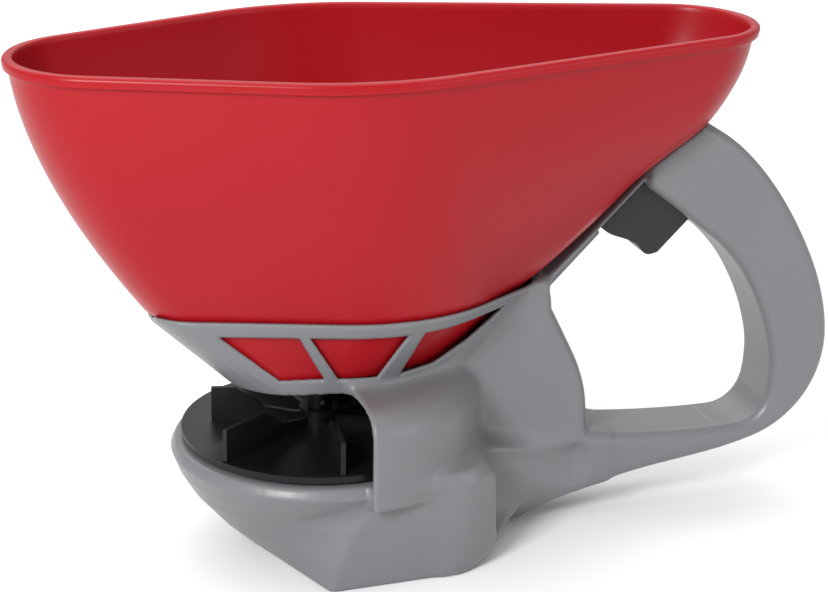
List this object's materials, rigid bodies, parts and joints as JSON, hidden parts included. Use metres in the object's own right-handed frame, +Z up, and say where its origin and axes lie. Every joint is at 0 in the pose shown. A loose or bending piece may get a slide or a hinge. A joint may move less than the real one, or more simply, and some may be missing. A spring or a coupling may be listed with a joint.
{
  "type": "hand broadcast spreader",
  "caption": "Hand-held broadcast spreader: boat-shaped hopper on a looped-handle body, with a cranked, finned spinner and a trigger-pulled gate.",
  "frame": {"origin": "on the spinner's axis, at the height of the foot it stands on", "axes": "+Z up along the spinner's axis, +X towards the looped handle, +Y towards the side with the crank"},
  "size_m": [0.3782, 0.1919, 0.23],
  "materials": {
    "red_plastic": "glossy",
    "gray_plastic": "satin",
    "black_plastic": "satin",
    "trigger_plastic": "satin",
    "steel": "brushed",
    "acetal": "natural"
  },
  "bodies": {
    "body": {"hopper": "red_plastic", "housing_left": "gray_plastic", "housing_right": "gray_plastic", "housing_screws": "steel", "gate_guide": "black_plastic", "hopper_screws": "steel", "upper_shaft_bush": "acetal", "lower_shaft_bush": "acetal", "inner_crank_bush": "acetal", "outer_crank_bush": "acetal", "trigger_spring": "steel"},
    "spinner": {"impeller": "black_plastic", "impeller_shaft": "steel", "impeller_pin": "steel", "pinion_gear": "acetal", "agitator": "black_plastic", "shaft_clip": "steel"},
    "crank": {"crown_gear": "acetal", "crank_shaft": "steel", "crank_washer": "steel", "crank_arm": "black_plastic", "crank_screw": "steel", "knob_pin": "steel"},
    "knob": {"crank_knob": "black_plastic", "knob_cap": "black_plastic"},
    "trigger": {"trigger": "trigger_plastic", "control_rod": "steel", "rod_pin": "steel", "spring_collar": "steel"},
    "gate": {"gate": "black_plastic"}
  },
  "joints": [
    {"name": "crank_spin", "type": "hinge", "parent": "body", "child": "crank", "pos_m": [0, 0.06, 0.027], "axis": [0, 1, 0], "continuous": true},
    {"name": "spinner_spin", "type": "hinge", "parent": "body", "child": "spinner", "pos_m": [0, 0, 0.055], "axis": [0, 0, 1], "continuous": true},
    {"name": "knob_spin", "type": "hinge", "parent": "crank", "child": "knob", "pos_m": [0.042, 0.09, 0.027], "axis": [0, 1, 0], "continuous": true},
    {"name": "trigger_slide", "type": "slide", "parent": "body", "child": "trigger", "axis": [0.7071, 0, 0.7071], "range_m": [0, 0.0085], "stiffness_N_per_m": 300, "springref_m": -0.01, "deforming": ["trigger_spring"]},
    {"name": "gate_slide", "type": "slide", "parent": "body", "child": "gate", "axis": [1, 0, 0], "range_m": [0, 0.0121]}
  ],
  "couplings": [
    {"joint": "spinner_spin", "follows": "crank_spin", "ratio": -3},
    {"joint": "gate_slide", "follows": "trigger_slide", "ratio": 1.4142}
  ]
}
